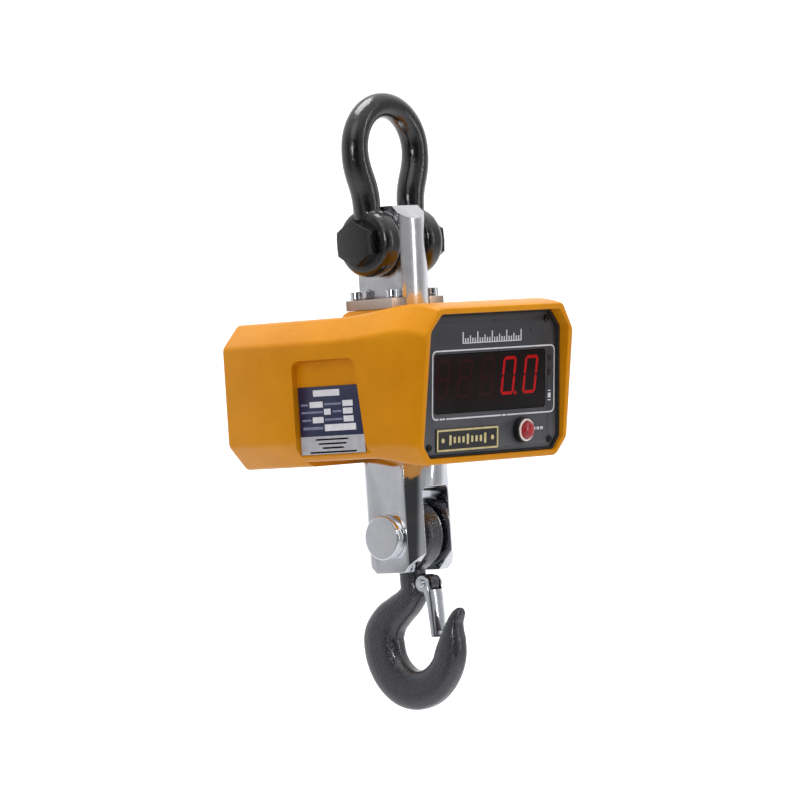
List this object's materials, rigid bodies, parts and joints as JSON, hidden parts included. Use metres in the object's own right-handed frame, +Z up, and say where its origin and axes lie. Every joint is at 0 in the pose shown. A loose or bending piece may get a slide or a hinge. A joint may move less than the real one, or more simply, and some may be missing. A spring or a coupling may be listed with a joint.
{
  "type": "crane scale",
  "caption": "Hanging crane scale: bow shackle above, cast housing with a digital display, and a fork below that carries a latched hook.",
  "frame": {"origin": "the point inside the shackle's crown where the crane's hook bears", "axes": "+Z up along the load line, -Y out of the display, +X to the right as seen from behind the display's reader"},
  "size_m": [0.178, 0.2214, 0.4873],
  "materials": {
    "black_paint": "gloss black enamel over a forged surface",
    "zinc": "bright zinc plate",
    "nickel_plate": "polished nickel plate",
    "bare_steel": "ground bare steel",
    "black_screw": "black oxide",
    "orange_enamel": "satin orange enamel on a casting",
    "black_rubber": "matt black rubber",
    "label_blue": "printed label, blank fields",
    "panel_grey": "satin charcoal",
    "black_plastic": "black moulded plastic",
    "white_plastic": "milky moulded ring",
    "red_plastic": "clear red moulded plastic",
    "battery_case": "moulded case",
    "window_red": "dark red filter window",
    "circuit_board": "solder mask",
    "gold_plate": "black plate with gold border",
    "hook_enamel": "hammered charcoal enamel",
    "digit_module": "seven-segment module"
  },
  "bodies": {
    "root": {"shackle_bow": "black_paint", "shackle_bolt": "black_paint", "shackle_nut": "black_paint", "cotter_pin": "zinc"},
    "scale": {"load_bar": "nickel_plate", "collar_plate_left": "bare_steel", "collar_plate_right": "bare_steel", "load_cell": "nickel_plate", "hook_fork": "nickel_plate", "hook_pin": "nickel_plate", "pin_washer": "zinc", "retaining_ring": "black_screw", "housing": "orange_enamel", "fork_seal": "black_rubber", "label_plate": "label_blue", "rear_cover": "panel_grey", "charge_socket": "black_plastic", "socket_cap": "black_rubber", "switch_bezel": "black_plastic", "battery": "battery_case", "front_panel": "panel_grey", "panel_gasket": "black_rubber", "display_window": "window_red", "display_board": "circuit_board", "main_board": "circuit_board", "capacity_plate": "gold_plate", "button_collar": "black_plastic", "button_ring": "white_plastic", "indicator_1": "black_plastic", "indicator_2": "black_plastic", "collar_screw_1": "black_screw", "collar_screw_2": "black_screw", "collar_screw_3": "black_screw", "collar_screw_4": "black_screw", "panel_screw_1": "black_screw", "panel_screw_2": "black_screw", "panel_screw_3": "black_screw", "panel_screw_4": "black_screw", "rear_screw_1": "black_screw", "rear_screw_2": "black_screw", "rear_screw_3": "black_screw", "rear_screw_4": "black_screw", "digit_1": "digit_module", "digit_2": "digit_module", "digit_3": "digit_module", "digit_4": "digit_module", "digit_5": "digit_module"},
    "zero_button": {"zero_button": "red_plastic"},
    "power_switch": {"power_switch": "red_plastic"},
    "hook": {"hook": "hook_enamel", "latch_pin": "zinc"},
    "latch": {"latch": "zinc", "latch_spring": "black_screw"}
  },
  "joints": [
    {"name": "body_swing", "type": "hinge", "parent": "root", "child": "scale", "pos_m": [0, 0, -0.098], "axis": [1, 0, 0], "range_deg": [-90, 90]},
    {"name": "hook_swing", "type": "hinge", "parent": "scale", "child": "hook", "pos_m": [0, 0, -0.3294], "axis": [1, 0, 0], "range_deg": [-80, 80]},
    {"name": "latch_open", "type": "hinge", "parent": "hook", "child": "latch", "pos_m": [0, -0.016, -0.3673], "axis": [1, 0, 0], "range_deg": [0, 40], "stiffness_Nm_per_rad": 0.12, "springref_deg": -20.05},
    {"name": "zero_press", "type": "slide", "parent": "scale", "child": "zero_button", "axis": [0, 0.9954, 0.0958], "range_m": [0, 0.002], "stiffness_N_per_m": 400, "springref_m": -0.001},
    {"name": "power_rock", "type": "hinge", "parent": "scale", "child": "power_switch", "pos_m": [0.038, 0.1056, -0.212], "axis": [1, 0, 0], "range_deg": [0, 14]}
  ]
}
